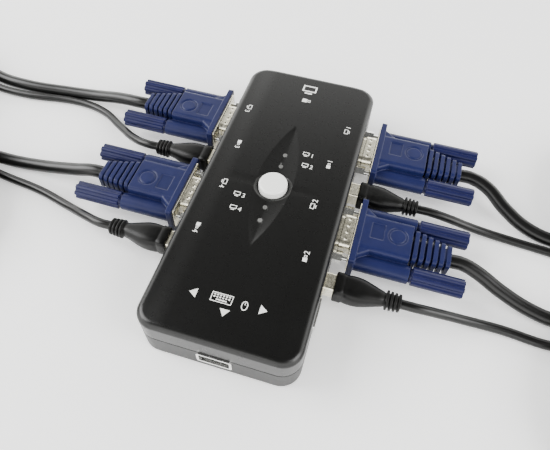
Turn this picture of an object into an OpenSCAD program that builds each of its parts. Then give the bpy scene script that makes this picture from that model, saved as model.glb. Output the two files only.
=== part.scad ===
// Four-port switch box for one monitor, keyboard and mouse, with its four cable sets plugged in.
// Millimetres. Origin at the bottom centre of the box, on the surface it stands on.
// +X is right, +Y points away from the end with the front console socket, +Z is up.

/* [Case] */
// Width of the box across its two long sides
case_w = 66; // [64:1:72]
// Length of the box
case_l = 155; // [152:1:162]
// Height of the top face above the surface it stands on
case_h = 24; // [23.5:0.5:27]
// Height of the split between the two covers
split_z = 12; // [11.5:0.5:12.5]
// Wall thickness of the covers
wall = 1.8; // [1.5:0.1:2.1]
// Corner radius of the box seen from above
corner_r = 8.5; // [7:0.5:10]
// Radius of the rounded upper edge
edge_r = 3; // [2:0.5:3.5]
// Height of the rubber feet
foot_h = 0.8; // [0.6:0.1:1]

/* [Button] */
// Radius of the white button
button_r = 6.4; // [5.5:0.1:7]
// How far the button stands above the top face
button_rise = 2.3; // [1.8:0.1:3]
// Travel of the button
button_travel = 1; // [0.6:0.1:1.2]

/* [Sockets] */
// Height of the monitor connectors' axis
vga_z = 10.8; // [10.6:0.1:11]
// Height of the square USB sockets' axis
usb_b_z = 10.7; // [10.5:0.1:10.9]
// Height of the flat USB sockets' axis
usb_a_z = 8.4; // [8.2:0.1:8.6]
// Distance between the two jack screws of a monitor connector
jack_pitch = 25; // [24.9:0.1:25.1]

/* [Plugs] */
// Gap between the case wall and the face of a monitor plug
vga_gap = 7; // [6.8:0.1:7.4]
// Gap between the case wall and the face of a square USB plug
usb_gap = 4; // [3.5:0.1:5]
// Diameter of the monitor cords
vga_cord_d = 6.4; // [6:0.1:6.4]
// Diameter of the USB cords
usb_cord_d = 4.2; // [3.8:0.1:4.2]

/* [Hidden] */
$fn = 48;
EPS = 0.05;

// Reach of the rear monitor socket and of the front USB rim past the case, which centre the frame
vga_reach = 4.2;
rim_reach = 0.6;
case_y = -(vga_reach - rim_reach) / 2;
half_w = case_w / 2;
half_l = case_l / 2;

// Rows of sockets along each long side, far one first, and the console socket on each side
vga_rows = [44, -6.7];
usb_rows = [17.2, -33.5];
console_row = -47.5;

// Inside of the box
floor_z = foot_h + wall;
board_z = 3.6;
board_t = 1.6;
board_top = board_z + board_t;
roof_z = case_h - wall;
boss_at = [for (x = [-1, 1], y = [-1, 1]) [x * (half_w - 6.4), y * (half_l - 6.6)]];
boss_r = 3.2;
foot_at = [for (x = [-1, 1], y = [-1, 1]) [x * (half_w - 14), y * (half_l - 16)]];

// Recess and indicators on the top face
leaf_half = 36;
leaf_w = 8.4;
leaf_y = 3;
leaf_depth = 0.6;
led_rows = [19.6, 12.4, -12, -19.2];
led_r = 1;

// Plug dimensions
flange_w = 34.4;
flange_h = 14.6;
flange_t = 2.6;
hood_w = 19;
hood_h = 14;
hood_l = 24.5;
relief_l = 17.5;
sleeve_r = 4;
sleeve_l = 26;
rod_r = 1.42;
bore_r = 1.5;
knob_r = 4.2;
knob_l = 22.7;
d_shell = [17.9, 9.4];
d_female = [16.3, 7.9];
shell_l = 5.8;
sheet_t = 0.5;

vga_face = half_w + vga_gap;
usb_face = half_w + usb_gap;
usb_b_l = 21;
usb_b_relief = 7;
vga_end = vga_face + hood_l + relief_l;
usb_end = usb_face + usb_b_l + usb_b_relief;
vga_r = vga_cord_d / 2;
usb_r = usb_cord_d / 2;
usb_a_l = 26;
usb_a_relief = 12;

// Coils: mean radius and turn layout of each cord, the USB cord's turns below
coil_layers = 2;
coil_columns = 3;
vga_coil_r = 34.6;
usb_coil_r = 33.7;
coil_top = coil_layers * (vga_cord_d + usb_cord_d);
far_vga_z = coil_top + flange_h / 2 + 0.1;
far_usb_z = 4.4;

// Each cable set: side of the box, row, centre of its coil and the plugs at its other end.
// Plug entries are the point where the cord goes in and the direction in which the plug points.
// The monitor plug lies on its coil and the USB plug lies beside it.
sets = [
    // right, far row
    [1, 0, [174, 51], [207.5, 43], 90, [197, 13.1], 0],
    // right, near row
    [1, 1, [174, -52], [207.5, -44], -90, [197, -14.1], 0],
    // left, far row
    [-1, 0, [-228, 14], [-261.5, 22], -90, [-264, -28], -90],
    // left, near row
    [-1, 1, [-169, -53], [-202.5, -45], -90, [-222, -40], -110]
];

// Cord routes between the box and the coil, after the straight start at the plug
vga_leads = [
    [[96, 39.4, 9.7], [106, 31.6, 6.4], [117, 25.4, 3.9], [130, 22.2, 3.3],
     [145, 20, 7.6], [160, 13.2, 11.5], [174, 10, 11.6]],
    [[94, -9.8, 9.6], [106, -14, 6], [119, -17.8, 3.5], [130, -19.6, 3.3],
     [144, -18.8, 5.8], [159, -13.6, 10.2], [174, -11, 11.6]],
    [[-100, 43.8, 8.8], [-116, 45.4, 5], [-134, 45, 3.3], [-160, 43, 3.2],
     [-180, 45, 3.6], [-204, 51.8, 9], [-228, 55, 11.6]],
    [[-98, -8.8, 8.4], [-118, -8.6, 3.8], [-137, -9.8, 3.4], [-152, -11.4, 7.4], [-169, -12, 11.6]]
];
usb_leads = [
    [[79, 15.8, 9], [93, 17.2, 4.4], [108, 17.4, 2.2], [130, 15.8, 2.1], [150, 13.6, 2.1], [174, 13.1, 2.1]],
    [[79, -34, 8.8], [93, -31.2, 4.2], [108, -30, 2.2], [130, -31, 2.1],
     [141, -28.3, 2.1], [152, -22.5, 2.1], [163, -16.7, 2.1], [174, -14.1, 2.1]],
    [[-79, 18, 9.2], [-93, 27, 5.6], [-108, 36.6, 3.1], [-124, 40.2, 2.2],
     [-160, 36.6, 2.1], [-180, 38.4, 2.1], [-204, 47.6, 2.1], [-228, 51.9, 2.1]],
    [[-79, -33, 9], [-94, -27.4, 4.4], [-112, -22, 2.2], [-133, -19.2, 2.1],
     [-150, -16.6, 2.1], [-169, -15.1, 2.1]]
];

// Cord routes between the coil and the plug at the other end
vga_tails = [
    [[184.6, 11.4, 19], [194.5, 15.5, 21.4], [201.4, 21.3, 24], [205.9, 29.1, 26.6], [207.3, 36, 28.3]],
    [[184.6, -12.4, 19], [194.5, -16.5, 21.4], [201.4, -22.3, 24], [205.9, -30.1, 26.6], [207.3, -37, 28.3]],
    [[-238.6, 53.6, 19], [-248.5, 49.5, 21.4], [-255.4, 43.7, 24], [-259.9, 35.9, 26.6], [-261.3, 29, 28.3]],
    [[-179.6, -13.4, 19], [-189.5, -17.5, 21.4], [-196.4, -23.3, 24], [-200.9, -31.1, 26.6],
     [-202.3, -38, 28.3]]
];
usb_tails = [
    [[184, 13.1, 5.8], [190, 13.1, 5]],
    [[184, -14.1, 5.8], [190, -14.1, 5]],
    [[-265.9, 2, 5.8], [-265.2, -12, 5]],
    [[-197, -24.2, 5.8], [-208, -28.3, 4.8], [-216, -32.6, 4.4]]
];

// ---- Shared shapes ----

// Rectangle with round corners, centred
module round_rect(w, h, r) {
    square([w - 2 * r, h], center = true);
    square([w, h - 2 * r], center = true);
    for (x = [-1, 1], y = [-1, 1])
        translate([x * (w / 2 - r), y * (h / 2 - r)])
            circle(r);
}

// Bar with a round-cornered section, running along +X from x = 0
module bar_x(len, w, h, r) {
    rotate([90, 0, 90])
        linear_extrude(len)
            round_rect(w, h, r);
}

// Cylinder along +X from x = 0
module rod_x(len, r) {
    rotate([0, 90, 0])
        cylinder(h = len, r = r);
}

// Half section of a slab's side: straight up, then rounded over at the top
function slab_side(reach, z0, z1, r) = concat(
    [[0, z0], [reach, z0]],
    [for (a = [0 : 9 : 90]) [reach - r + r * cos(a), z1 - r + r * sin(a)]],
    [[0, z1]]
);

// Slab with round corners in plan and a rounded upper edge
module slab(w, l, z0, z1, corner, edge) {
    for (x = [-1, 1], y = [-1, 1])
        translate([x * (w / 2 - corner), y * (l / 2 - corner), 0])
            rotate_extrude()
                polygon(slab_side(corner, z0, z1, edge));
    for (a = [0, 180])
        rotate([90, 0, a])
            translate([0, 0, -(l / 2 - corner)])
                linear_extrude(l - 2 * corner)
                    polygon(slab_side(w / 2, z0, z1, edge));
    for (a = [90, 270])
        rotate([90, 0, a])
            translate([0, 0, -(w / 2 - corner)])
                linear_extrude(w - 2 * corner)
                    polygon(slab_side(l / 2, z0, z1, edge));
}

// Plain box with round corners in plan
module plain_slab(w, l, z0, z1, corner) {
    translate([0, 0, z0])
        linear_extrude(z1 - z0)
            round_rect(w, l, corner);
}

// Moves the children to the case's place in the frame
module on_case() {
    translate([0, case_y, 0])
        children();
}

// Places the children on a long side, with local +X pointing away from the box
module on_side(side, y, z) {
    translate([0, y + case_y, z])
        rotate([0, 0, side > 0 ? 0 : 180])
            children();
}

// Places the children at every monitor socket on the long sides
module at_vga_rows() {
    for (side = [1, -1], y = vga_rows)
        on_side(side, y, vga_z)
            children();
}

// Places the children at every square USB socket on the long sides
module at_usb_rows() {
    for (side = [1, -1], y = usb_rows)
        on_side(side, y, usb_b_z)
            children();
}

// Places the children at the rear end, with local +X pointing away from the box
module at_rear() {
    translate([0, half_l + case_y, vga_z])
        rotate([0, 0, 90])
            translate([-half_w, 0, 0])
                children();
}

// Places the children at a console socket: 0 is the front, 1 the right and -1 the left
module at_console(side) {
    if (side == 0)
        translate([0, -half_l + case_y, usb_a_z])
            rotate([0, 0, -90])
                translate([-half_w, 0, 0])
                    children();
    else
        on_side(side, console_row, usb_a_z)
            children();
}

// ---- Covers ----

// All openings that the connectors need in the walls
module wall_openings() {
    at_vga_rows()
        vga_opening();
    at_rear()
        vga_opening();
    at_usb_rows()
        translate([half_w - wall - 1, 0, 0])
            bar_x(wall + 2, 12.6, 11.6, 0.6);
    for (side = [-1, 0, 1])
        at_console(side)
            translate([half_w - wall - 1, 0, 0])
                bar_x(wall + 2, 13.6, 6.2, 0.6);
}

module vga_opening() {
    translate([half_w - wall - 1, 0, 0])
        bar_x(wall + 2, 17.2, 8.8, 2.6);
    for (y = [-1, 1])
        translate([half_w - wall - 1, y * jack_pitch / 2, 0])
            rod_x(wall + 2, 3.2);
}

// Pointed oval seen from above
module leaf(half, w) {
    r = (half * half + w * w) / (2 * w);
    intersection() {
        translate([r - w, 0])
            circle(r, $fn = 180);
        translate([w - r, 0])
            circle(r, $fn = 180);
    }
}

module top_cover() {
    color([0.07, 0.07, 0.065])
        difference() {
            union() {
                on_case()
                    difference() {
                        slab(case_w, case_l, split_z, case_h, corner_r, edge_r);
                        slab(case_w - 2 * wall, case_l - 2 * wall, split_z - 1, roof_z,
                             corner_r - wall, edge_r - wall / 2);
                    }
                on_case()
                    for (p = boss_at)
                        translate([p[0], p[1], split_z])
                            cylinder(h = roof_z - split_z + EPS, r = boss_r);
                on_case()
                    translate([0, 0, roof_z - 1.6])
                        difference() {
                            cylinder(h = 1.6 + EPS, r = button_r + 4);
                            translate([0, 0, -1])
                                cylinder(h = 4, r = button_r + 2.4);
                        }
            }
            wall_openings();
            on_case() {
                translate([0, leaf_y, case_h - leaf_depth])
                    linear_extrude(2)
                        difference() {
                            leaf(leaf_half, leaf_w);
                            translate([0, -leaf_y])
                                circle(button_r + 1.9);
                        }
                translate([0, 0, split_z])
                    cylinder(h = case_h, r = button_r + 0.4);
                for (y = led_rows)
                    translate([0, y, split_z])
                        cylinder(h = case_h, r = led_r + 0.1);
                for (p = boss_at)
                    translate([p[0], p[1], split_z - 1])
                        cylinder(h = 8, r = 1.1);
            }
        }
}

module bottom_cover() {
    color([0.07, 0.07, 0.065])
        difference() {
            union() {
                on_case()
                    difference() {
                        plain_slab(case_w, case_l, foot_h, split_z, corner_r);
                        plain_slab(case_w - 2 * wall, case_l - 2 * wall, floor_z, split_z + 1,
                                   corner_r - wall);
                    }
                on_case()
                    for (p = boss_at)
                        translate([p[0], p[1], floor_z - EPS])
                            cylinder(h = split_z - floor_z + EPS, r = boss_r);
                on_case()
                    for (x = [-18, 18], y = [-58, 0, 64])
                        translate([x, y, floor_z - EPS])
                            cylinder(h = board_z - floor_z + EPS, r = 2.4);
            }
            wall_openings();
            on_case()
                for (p = boss_at) {
                    translate([p[0], p[1], 0])
                        cylinder(h = split_z + 1, r = 1.6);
                    translate([p[0], p[1], 0])
                        cylinder(h = foot_h + 3.2, r = 2.7);
                }
        }
}

// Pan-head screws that go up through the bottom cover into the top one
module case_screws() {
    head_z = foot_h + 1.4;
    color([0.6, 0.6, 0.62])
        on_case()
            for (p = boss_at)
                translate([p[0], p[1], head_z])
                    difference() {
                        union() {
                            cylinder(h = 1.8, r = 2.5);
                            cylinder(h = 15, r = 1.1);
                        }
                        for (a = [0, 90])
                            rotate([0, 0, a])
                                translate([-1.5, -0.3, -1])
                                    cube([3, 0.6, 2]);
                    }
}

module rubber_feet() {
    color([0.12, 0.12, 0.12])
        on_case()
            for (p = foot_at)
                translate([p[0], p[1], 0])
                    cylinder(h = foot_h, r = 4.5);
}

// ---- Circuit board and what stands on it ----

module circuit_board() {
    color([0.1, 0.35, 0.2])
        on_case()
            difference() {
                plain_slab(case_w - 2 * wall - 1, case_l - 2 * wall - 1, board_z, board_top,
                           corner_r - wall - 0.5);
                for (p = boss_at)
                    translate([p[0], p[1], board_z - 1])
                        cylinder(h = board_t + 2, r = boss_r + 0.3);
            }
}

// Video and USB switching circuits
module logic_chips() {
    color([0.09, 0.09, 0.1])
        on_case() {
            for (y = [34, -28])
                translate([0, y, board_top])
                    linear_extrude(1.8)
                        round_rect(7.6, 13, 0.3);
            for (y = [52, -40])
                translate([0, y, board_top])
                    linear_extrude(1.5)
                        round_rect(10, 10, 0.3);
        }
}

module board_capacitors() {
    color([0.25, 0.27, 0.4])
        on_case()
            for (p = [[-12, 62], [12, 62], [-8, -56], [8, -56]])
                translate([p[0], p[1], board_top])
                    cylinder(h = 7, r = 2.5);
}

// White cap with a dished top edge, a retaining rim and a stem down to the switch
module push_button() {
    crown = 1.2;
    stem_r = 4;
    stem_z = 14.4;
    rim_z = roof_z - 1.5 - button_travel;
    top_z = case_h + button_rise;
    color([0.93, 0.93, 0.92])
        on_case()
            rotate_extrude()
                polygon(concat(
                    [[0, stem_z], [stem_r, stem_z], [stem_r, rim_z], [button_r + 1.8, rim_z],
                     [button_r + 1.8, roof_z - 0.3], [button_r, roof_z - 0.3]],
                    [for (a = [0 : 10 : 90])
                        [button_r - crown + crown * cos(a), top_z - crown + crown * sin(a)]],
                    [[0, top_z]]
                ));
}

// Moving peg of the switch, on which the button's stem sits
module switch_plunger() {
    color([0.75, 0.7, 0.6])
        on_case()
            translate([0, 0, 9.5])
                union() {
                    cylinder(h = 4.9, r = 3.4);
                    cylinder(h = 1, r = 4.2);
                }
}

module tact_switch() {
    color([0.1, 0.1, 0.1])
        on_case()
            difference() {
                translate([0, 0, board_top])
                    linear_extrude(7.1)
                        round_rect(12, 12, 0.6);
                translate([0, 0, board_top + 2.6])
                    cylinder(h = 3.6, r = 4.5);
                translate([0, 0, board_top + 5])
                    cylinder(h = 3, r = 3.46);
            }
}

// Tall indicators with their two legs down to the board
module indicator_leds() {
    color([0.5, 0.08, 0.06])
        on_case()
            for (y = led_rows)
                translate([0, y, 0]) {
                    translate([0, 0, roof_z - 3.6])
                        cylinder(h = 1, r = 1.5);
                    translate([0, 0, roof_z - 2.8])
                        cylinder(h = 4, r = led_r);
                    for (x = [-0.75, 0.75])
                        translate([x - 0.25, -0.25, board_top])
                            cube([0.5, 0.5, roof_z - 3.2 - board_top]);
                }
}

// ---- Sockets ----

// Metal shell of a female monitor socket with its flange behind the wall
module vga_socket_shell() {
    root = half_w - wall - 0.4;
    difference() {
        union() {
            translate([root - 0.8, 0, 0])
                bar_x(0.8, 30.8, 11, 1);
            translate([root - 0.8, 0, 0])
                bar_x(half_w + vga_reach - root + 0.8, d_female[0], d_female[1], 2.4);
        }
        translate([root - 2, 0, 0])
            bar_x(12, d_female[0] - 0.8, d_female[1] - 0.8, 2);
        for (y = [-1, 1])
            translate([root - 2, y * jack_pitch / 2, 0])
                rod_x(4, 1.55);
    }
}

// Insulator of a female monitor socket: face, block behind the wall and three rows of contact holes
module vga_socket_insert() {
    root = half_w - wall - 1.2;
    difference() {
        union() {
            translate([root - 0.5, 0, 0])
                bar_x(half_w + vga_reach - root, d_female[0] - 0.84, d_female[1] - 0.84, 1.96);
            translate([root - 7, -15, board_top - vga_z])
                cube([6.96, 30, 10.4]);
        }
        for (row = [-1, 0, 1], k = [-2 : 2])
            translate([half_w + vga_reach - 4, k * 2.29 + (row == 0 ? 1.1 : 0), row * 1.98])
                rod_x(6, 0.45);
    }
}

module pc_vga_shells() {
    color([0.9, 0.88, 0.78])
        at_vga_rows()
            vga_socket_shell();
}

module pc_vga_inserts() {
    color([0.12, 0.15, 0.4])
        at_vga_rows()
            vga_socket_insert();
}

module monitor_socket_shell() {
    color([0.9, 0.88, 0.78])
        at_rear()
            vga_socket_shell();
}

module monitor_socket_insert() {
    color([0.12, 0.15, 0.4])
        at_rear()
            vga_socket_insert();
}

// Hexagonal standoff nut that takes a thumbscrew
module jack_nut() {
    root = half_w - wall - 0.4;
    translate([root, 0, 0])
        difference() {
            rotate([0, 90, 0])
                cylinder(h = half_w + vga_reach - root, r = 2.9, $fn = 6);
            translate([1, 0, 0])
                rod_x(12, bore_r);
        }
}

module jack_nuts() {
    color([0.8, 0.8, 0.78])
        for (y = [-1, 1]) {
            at_vga_rows()
                translate([0, y * jack_pitch / 2, 0])
                    jack_nut();
            at_rear()
                translate([0, y * jack_pitch / 2, 0])
                    jack_nut();
        }
}

module pc_usb_shells() {
    color([0.85, 0.84, 0.78])
        at_usb_rows()
            translate([half_w - 15.8, 0, 0])
                difference() {
                    bar_x(15.8, 12, 11, 0.4);
                    translate([1, 0, 0])
                        bar_x(16, 8.6, 7.9, 0.4);
                }
}

module pc_usb_inserts() {
    color([0.1, 0.1, 0.1])
        at_usb_rows()
            translate([half_w - 14.8, 0, 0])
                union() {
                    bar_x(2, 8.5, 7.8, 0.3);
                    bar_x(11.5, 5.6, 3.2, 0.3);
                }
}

// Flat USB socket: folded metal shell with a flared rim
module console_shell() {
    translate([half_w - 13.6, 0, 0])
        difference() {
            union() {
                bar_x(13.6, 13.2, 5.8, 0.6);
                translate([13.6, 0, 0])
                    bar_x(rim_reach, 14.4, 7, 1);
            }
            translate([0.6, 0, 0])
                bar_x(20, 12.4, 5, 0.5);
        }
}

module console_tongue() {
    translate([half_w - 13, 0, 0])
        union() {
            bar_x(2, 12.3, 4.9, 0.4);
            translate([0, 0, 1.1])
                bar_x(11.6, 11.1, 1.8, 0.3);
        }
}

module console_usb_front() {
    color([0.88, 0.88, 0.86])
        at_console(0)
            console_shell();
}

module console_usb_left() {
    color([0.88, 0.88, 0.86])
        at_console(-1)
            console_shell();
}

module console_usb_right() {
    color([0.88, 0.88, 0.86])
        at_console(1)
            console_shell();
}

module console_usb_tongues() {
    color([0.9, 0.9, 0.88])
        for (side = [-1, 0, 1])
            at_console(side)
                console_tongue();
}

// ---- Monitor plugs ----

// Moulded hood with its flange, side sleeves and ribbed strain relief, from x = 0 outwards
module vga_hood() {
    ribs = 6;
    rib_step = relief_l / ribs;
    difference() {
        union() {
            bar_x(flange_t, flange_w, flange_h, 1.2);
            hull() {
                translate([flange_t - 1, 0, 0])
                    bar_x(1, 27, hood_h - 0.8, 1.6, $fn = 24);
                translate([flange_t + 4.6, 0, 0])
                    bar_x(1, hood_w - 0.4, hood_h - 0.8, 1.6, $fn = 24);
            }
            bar_x(hood_l, hood_w, hood_h, 2);
            for (y = [-1, 1])
                translate([0, y * jack_pitch / 2, 0])
                    rod_x(sleeve_l, sleeve_r);
            translate([0, -jack_pitch / 2, -1.6])
                cube([sleeve_l - 2, jack_pitch, 3.2]);
            translate([hood_l - EPS, 0, 0])
                bar_x(relief_l + EPS, 8.6, 7.6, 2.4);
            for (i = [0 : ribs - 1])
                translate([hood_l + 1 + i * rib_step, 0, 0])
                    bar_x(rib_step - 1, 16 - i * 0.9, 12.6 - i * 0.8, 2.2);
        }
        for (y = [-1, 1])
            translate([-1, y * jack_pitch / 2, 0])
                rod_x(sleeve_l + 2, bore_r);
        translate([6.4, -3, hood_h / 2 - 0.5])
            linear_extrude(1)
                square([6, 8.4]);
        translate([18.2, 1, hood_h / 2 - 0.4])
            difference() {
                cylinder(h = 1, r = 4.4);
                cylinder(h = 3, r = 3.4, center = true);
            }
    }
}

// Male shell in front of the hood, with the steel flange that carries it
module vga_male_shell() {
    difference() {
        union() {
            translate([-sheet_t, 0, 0])
                bar_x(sheet_t, 31.4, 12, 1.4);
            translate([-shell_l, 0, 0])
                bar_x(shell_l, d_shell[0], d_shell[1], 2.8);
        }
        translate([-shell_l - 1, 0, 0])
            bar_x(shell_l + 0.5, d_shell[0] - 2 * sheet_t, d_shell[1] - 2 * sheet_t, 2.3);
        for (y = [-1, 1])
            translate([-2, y * jack_pitch / 2, 0])
                rod_x(4, 2);
    }
}

// Long screw with a fluted grip, on its own axis
module thumbscrew() {
    flutes = 7;
    difference() {
        union() {
            translate([-4.4, 0, 0])
                rod_x(4.4 + sleeve_l + 2, rod_r);
            translate([sleeve_l + 0.3, 0, 0])
                rotate([0, 90, 0])
                    cylinder(h = 1.2, r = knob_r - 1);
            translate([sleeve_l + 1.4, 0, 0])
                rotate([90, 0, 90])
                    linear_extrude(knob_l - 1.1)
                        difference() {
                            circle(knob_r);
                            for (k = [0 : flutes - 1])
                                rotate(k * 360 / flutes)
                                    translate([knob_r + 0.35, 0])
                                        circle(1.1);
                        }
        }
        translate([sleeve_l + knob_l - 0.6, -3, -0.5])
            cube([2, 6, 1]);
    }
}

module vga_plug(k) {
    color([0.14, 0.18, 0.45])
        on_side(sets[k][0], vga_rows[sets[k][1]], vga_z)
            translate([vga_face, 0, 0])
                vga_hood();
}

module vga_plug_shells() {
    color([0.9, 0.88, 0.78])
        at_vga_rows()
            translate([vga_face, 0, 0])
                vga_male_shell();
}

// Thumbscrew of one plug: "a" is the one on its far side and "b" the one on its near side
module plug_thumbscrew(k, far) {
    side = sets[k][0];
    color([0.14, 0.18, 0.45])
        on_side(side, vga_rows[sets[k][1]], vga_z)
            translate([vga_face, (far ? 1 : -1) * side * jack_pitch / 2, 0])
                thumbscrew();
}

// ---- USB plugs ----

// Moulded grip of a square USB plug, with rounded shoulders and a ribbed strain relief
module usb_b_grip() {
    union() {
        hull() {
            bar_x(11, 11.6, 9.6, 1.6);
            translate([15, 0, 0])
                bar_x(2, 9.8, 8.4, 2);
            translate([usb_b_l - 1, 0, 0])
                bar_x(1, 7, 6.6, 2);
        }
        translate([usb_b_l - 1, 0, 0])
            bar_x(usb_b_relief + 1, 5.6, 5.6, 2);
        for (i = [0 : 3])
            translate([usb_b_l + 0.6 + i * 1.7, 0, 0])
                bar_x(1, 8.2 - i * 0.25, 7.4 - i * 0.25, 1.4);
    }
}

module usb_plug(k) {
    color([0.05, 0.05, 0.05])
        on_side(sets[k][0], usb_rows[sets[k][1]], usb_b_z)
            translate([usb_face, 0, 0])
                usb_b_grip();
}

module usb_plug_shells() {
    length = 11.5;
    color([0.85, 0.84, 0.78])
        at_usb_rows()
            translate([usb_face - length, 0, 0])
                difference() {
                    bar_x(length, 8, 7.3, 0.9);
                    translate([-1, 0, 0])
                        bar_x(length, 7.2, 6.5, 0.6);
                }
}

// ---- Cords ----

function unit(v) = v / norm(v);
function heading(p, i) = unit(p[min(i + 1, len(p) - 1)] - p[max(i - 1, 0)]);
function ring(c, t, r, n) =
    let (s = unit(cross([0, 0, 1], t)), u = cross(t, s))
    [for (k = [0 : n - 1]) c + r * (cos(360 * k / n) * s + sin(360 * k / n) * u)];

// Closed tube of n sides along the points p
module tube(p, r, n) {
    last = len(p) - 1;
    points = [for (i = [0 : last]) each ring(p[i], heading(p, i), r, n)];
    first_cap = [for (k = [0 : n - 1]) k];
    last_cap = [for (k = [n - 1 : -1 : 0]) last * n + k];
    skin = [
        for (i = [0 : last - 1], k = [0 : n - 1])
            let (a = i * n + k, b = i * n + (k + 1) % n)
                each [[a, a + n, b], [b, a + n, b + n]]
    ];
    polyhedron(points = points, faces = concat([first_cap, last_cap], skin), convexity = 8);
}

// Start of a cord: two points straight out of the strain relief
function cord_start(side, x, y, z) = [[side * x, y + case_y, z], [side * (x + 6), y + case_y, z]];
// End of a cord: straight into the plug at its other end
function cord_end(at, a, z) = [[at[0] - 4 * cos(a), at[1] - 4 * sin(a), z], [at[0], at[1], z]];

module vga_cord(k) {
    s = sets[k];
    color([0.06, 0.06, 0.05]) {
        tube(concat(cord_start(s[0], vga_end, vga_rows[s[1]], vga_z), vga_leads[k]), vga_r, 8);
        tube(concat(vga_tails[k], cord_end(s[3], s[4], far_vga_z)), vga_r, 8);
    }
}

module usb_cord(k) {
    s = sets[k];
    color([0.06, 0.06, 0.05]) {
        tube(concat(cord_start(s[0], usb_end, usb_rows[s[1]], usb_b_z), usb_leads[k]), usb_r, 8);
        tube(concat(usb_tails[k], cord_end(s[5], s[6], far_usb_z)), usb_r, 8);
    }
}

// Outer shape of one set's coil: the monitor cord's turns lie on the USB cord's turns
module cable_coil(k) {
    vga_w = coil_columns * vga_cord_d;
    vga_h = coil_layers * vga_cord_d;
    usb_w = coil_columns * usb_cord_d;
    usb_h = coil_layers * usb_cord_d;
    color([0.06, 0.06, 0.05])
        translate([sets[k][2][0], sets[k][2][1], 0])
            rotate_extrude($fn = 72) {
                translate([usb_coil_r - usb_w / 2, 0])
                    square([usb_w, usb_h + EPS]);
                translate([vga_coil_r - vga_w / 2, usb_h])
                    square([vga_w, vga_h]);
            }
}

// ---- Plugs at the computers' end ----

// Places the children with local +X pointing back along the cord, at a plug that lies on the surface
module at_far_end(at, a, z, reach) {
    translate([at[0], at[1], z])
        rotate([0, 0, a + 180])
            translate([-reach, 0, 0])
                children();
}

module at_far_vga() {
    for (s = sets)
        at_far_end(s[3], s[4], far_vga_z, hood_l + relief_l)
            children();
}

module at_far_usb() {
    for (s = sets)
        at_far_end(s[5], s[6], far_usb_z, usb_a_l + usb_a_relief)
            children();
}

module pc_end_vga_plugs() {
    color([0.14, 0.18, 0.45])
        at_far_vga()
            vga_hood();
}

module pc_end_vga_shells() {
    color([0.9, 0.88, 0.78])
        at_far_vga()
            vga_male_shell();
}

module pc_end_thumbscrews() {
    color([0.14, 0.18, 0.45])
        at_far_vga()
            for (y = [-1, 1])
                translate([0, y * jack_pitch / 2, 0])
                    thumbscrew();
}

// Moulded grip of a flat USB plug with its strain relief, from x = 0 outwards
module pc_end_usb_plugs() {
    color([0.05, 0.05, 0.05])
        at_far_usb()
            union() {
                bar_x(usb_a_l, 15.8, 8, 1.6);
                translate([usb_a_l - 1, 0, 0])
                    bar_x(usb_a_relief + 1, 5.6, 5.6, 2);
                for (i = [0 : 4])
                    translate([usb_a_l + 1.4 + i * 2, 0, 0])
                        bar_x(1.2, 9 - i * 0.5, 7 - i * 0.25, 1.4);
            }
}

module pc_end_usb_shells() {
    length = 12;
    color([0.85, 0.84, 0.78])
        at_far_usb()
            translate([-length, 0, 0])
                difference() {
                    bar_x(length, 12, 4.5, 0.4);
                    translate([-0.4, 0, -0.8])
                        bar_x(length, 11.4, 2.3, 0.2);
                }
}

top_cover();
bottom_cover();
case_screws();
rubber_feet();
circuit_board();
logic_chips();
board_capacitors();
push_button();
switch_plunger();
tact_switch();
indicator_leds();
pc_vga_shells();
pc_vga_inserts();
pc_usb_shells();
pc_usb_inserts();
monitor_socket_shell();
monitor_socket_insert();
jack_nuts();
console_usb_front();
console_usb_left();
console_usb_right();
console_usb_tongues();
vga_plug_shells();
usb_plug_shells();
for (k = [0 : len(sets) - 1]) {
    vga_plug(k);
    plug_thumbscrew(k, true);
    plug_thumbscrew(k, false);
    usb_plug(k);
    vga_cord(k);
    usb_cord(k);
    cable_coil(k);
}
pc_end_vga_plugs();
pc_end_vga_shells();
pc_end_thumbscrews();
pc_end_usb_plugs();
pc_end_usb_shells();
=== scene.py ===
import math

import bmesh
import bpy
from mathutils import Matrix, Vector


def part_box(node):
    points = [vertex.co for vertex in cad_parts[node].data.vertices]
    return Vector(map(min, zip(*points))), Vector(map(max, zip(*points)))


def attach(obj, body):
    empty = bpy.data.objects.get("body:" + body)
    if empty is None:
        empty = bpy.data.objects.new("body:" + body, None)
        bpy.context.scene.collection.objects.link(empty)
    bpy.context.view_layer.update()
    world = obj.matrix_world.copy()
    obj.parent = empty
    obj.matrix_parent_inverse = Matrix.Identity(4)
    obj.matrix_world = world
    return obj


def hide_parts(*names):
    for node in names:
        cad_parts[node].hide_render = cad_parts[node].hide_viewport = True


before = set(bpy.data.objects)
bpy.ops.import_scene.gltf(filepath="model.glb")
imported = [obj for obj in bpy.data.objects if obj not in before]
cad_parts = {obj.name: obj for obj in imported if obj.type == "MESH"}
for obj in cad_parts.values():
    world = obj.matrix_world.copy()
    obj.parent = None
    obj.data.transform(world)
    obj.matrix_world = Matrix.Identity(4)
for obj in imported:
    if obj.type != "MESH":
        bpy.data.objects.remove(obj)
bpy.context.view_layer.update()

MM = 0.001
SCENE = bpy.context.scene

# Sizes and places taken from the frame
CASE_LO, CASE_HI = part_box("bottom_cover")
TOP_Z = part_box("top_cover")[1].z
CASE_MID = (CASE_LO + CASE_HI) / 2
HALF_W = CASE_HI.x
HALF_L = (CASE_HI.y - CASE_LO.y) / 2

# ---- Camera ----

CAMERA_AT = Vector((0.0382, -0.1396, 0.1995))
CAMERA_AZ, CAMERA_EL, CAMERA_ROLL = 14.89, 55.24, 2.11
CAMERA_LENS = 33.31


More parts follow.
